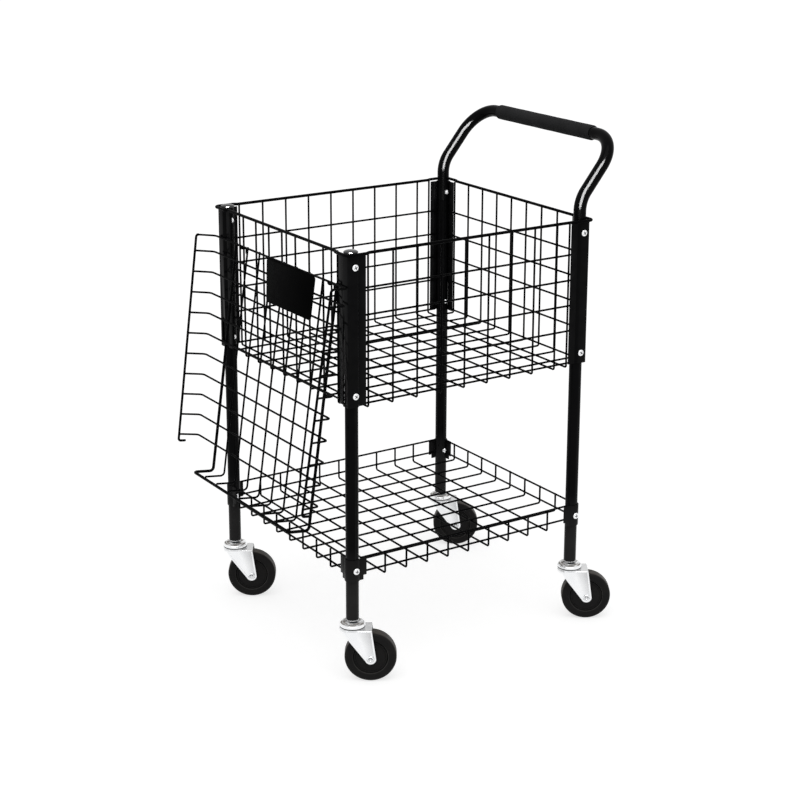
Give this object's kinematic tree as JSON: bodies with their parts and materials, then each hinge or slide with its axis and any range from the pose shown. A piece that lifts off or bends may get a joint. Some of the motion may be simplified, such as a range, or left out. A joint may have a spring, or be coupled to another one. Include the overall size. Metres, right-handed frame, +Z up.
{
  "type": "tennis ball cart",
  "caption": "Wheeled tennis teaching cart: wire ball basket on tube posts, wire shelf below, push handle with foam grip, hanging wire rack, swivel casters.",
  "frame": {"origin": "middle of the whole cart in plan, on the floor under the wheels", "axes": "+Z up, +X towards the push handle, -X towards the hanging rack, -Y to the left side as seen by the person who pushes the cart"},
  "size_m": [0.7572, 0.5552, 1.0045],
  "materials": {
    "powder_coat": "satin black powder coat on steel tube and sheet",
    "coated_wire": "satin black coat on steel wire",
    "plug_plastic": "glossy black plastic",
    "grip_foam": "matte dark closed-cell foam",
    "wheel_tread": "satin black",
    "plate_paint": "plain black, bare of print",
    "zinc_plate": "bright zinc plate"
  },
  "bodies": {
    "cart_frame": {"post_front_left": "powder_coat", "post_front_right": "powder_coat", "post_rear_left": "powder_coat", "post_rear_right": "powder_coat", "plug_front_left": "plug_plastic", "plug_front_right": "plug_plastic", "upper_bracket_front_left": "powder_coat", "upper_bracket_front_right": "powder_coat", "upper_bracket_rear_left": "powder_coat", "upper_bracket_rear_right": "powder_coat", "lower_bracket_front_left": "powder_coat", "lower_bracket_front_right": "powder_coat", "lower_bracket_rear_left": "powder_coat", "lower_bracket_rear_right": "powder_coat", "bolt_top_front_left": "zinc_plate", "bolt_middle_front_left": "zinc_plate", "bolt_low_front_left": "zinc_plate", "bolt_top_front_right": "zinc_plate", "bolt_middle_front_right": "zinc_plate", "bolt_low_front_right": "zinc_plate", "bolt_top_rear_left": "zinc_plate", "bolt_middle_rear_left": "zinc_plate", "bolt_low_rear_left": "zinc_plate", "bolt_top_rear_right": "zinc_plate", "bolt_middle_rear_right": "zinc_plate", "bolt_low_rear_right": "zinc_plate", "basket_rim": "coated_wire", "basket_wall_left": "coated_wire", "basket_wall_right": "coated_wire", "basket_wall_front": "coated_wire", "basket_wall_rear": "coated_wire", "basket_floor": "coated_wire", "shelf_tray": "coated_wire", "push_handle": "powder_coat", "foam_grip": "grip_foam", "caster_stem_front_left": "zinc_plate", "caster_stem_front_right": "zinc_plate", "caster_stem_rear_left": "zinc_plate", "caster_stem_rear_right": "zinc_plate", "rack_hook_left": "coated_wire", "rack_hook_right": "coated_wire"},
    "fork_front_left": {"caster_fork_front_left": "zinc_plate", "caster_axle_front_left": "zinc_plate"},
    "wheel_front_left": {"caster_wheel_front_left": "wheel_tread"},
    "fork_front_right": {"caster_fork_front_right": "zinc_plate", "caster_axle_front_right": "zinc_plate"},
    "wheel_front_right": {"caster_wheel_front_right": "wheel_tread"},
    "fork_rear_left": {"caster_fork_rear_left": "zinc_plate", "caster_axle_rear_left": "zinc_plate"},
    "wheel_rear_left": {"caster_wheel_rear_left": "wheel_tread"},
    "fork_rear_right": {"caster_fork_rear_right": "zinc_plate", "caster_axle_rear_right": "zinc_plate"},
    "wheel_rear_right": {"caster_wheel_rear_right": "wheel_tread"},
    "rack": {"rack_grid": "coated_wire", "rack_foot": "coated_wire", "rack_side_left": "coated_wire", "rack_side_right": "coated_wire", "name_plate": "plate_paint"}
  },
  "joints": [
    {"name": "swivel_front_left", "type": "hinge", "parent": "cart_frame", "child": "fork_front_left", "pos_m": [-0.25272, -0.22035, 0.10645], "axis": [0, 0, 1], "continuous": true},
    {"name": "roll_front_left", "type": "hinge", "parent": "fork_front_left", "child": "wheel_front_left", "pos_m": [-0.22378, -0.23914, 0.05], "axis": [0.5446, 0.8387, 0], "continuous": true},
    {"name": "swivel_front_right", "type": "hinge", "parent": "cart_frame", "child": "fork_front_right", "pos_m": [-0.25272, 0.24965, 0.10645], "axis": [0, 0, 1], "continuous": true},
    {"name": "roll_front_right", "type": "hinge", "parent": "fork_front_right", "child": "wheel_front_right", "pos_m": [-0.22378, 0.23086, 0.05], "axis": [0.5446, 0.8387, 0], "continuous": true},
    {"name": "swivel_rear_left", "type": "hinge", "parent": "cart_frame", "child": "fork_rear_left", "pos_m": [0.27128, -0.22035, 0.10645], "axis": [0, 0, 1], "continuous": true},
    {"name": "roll_rear_left", "type": "hinge", "parent": "fork_rear_left", "child": "wheel_rear_left", "pos_m": [0.30022, -0.23914, 0.05], "axis": [0.5446, 0.8387, 0], "continuous": true},
    {"name": "swivel_rear_right", "type": "hinge", "parent": "cart_frame", "child": "fork_rear_right", "pos_m": [0.27128, 0.24965, 0.10645], "axis": [0, 0, 1], "continuous": true},
    {"name": "roll_rear_right", "type": "hinge", "parent": "fork_rear_right", "child": "wheel_rear_right", "pos_m": [0.30022, 0.23086, 0.05], "axis": [0.5446, 0.8387, 0], "continuous": true},
    {"name": "rack_swing", "type": "hinge", "parent": "cart_frame", "child": "rack", "pos_m": [-0.27171, 0.01465, 0.779], "axis": [0, 1, 0], "range_deg": [0, 90]}
  ]
}
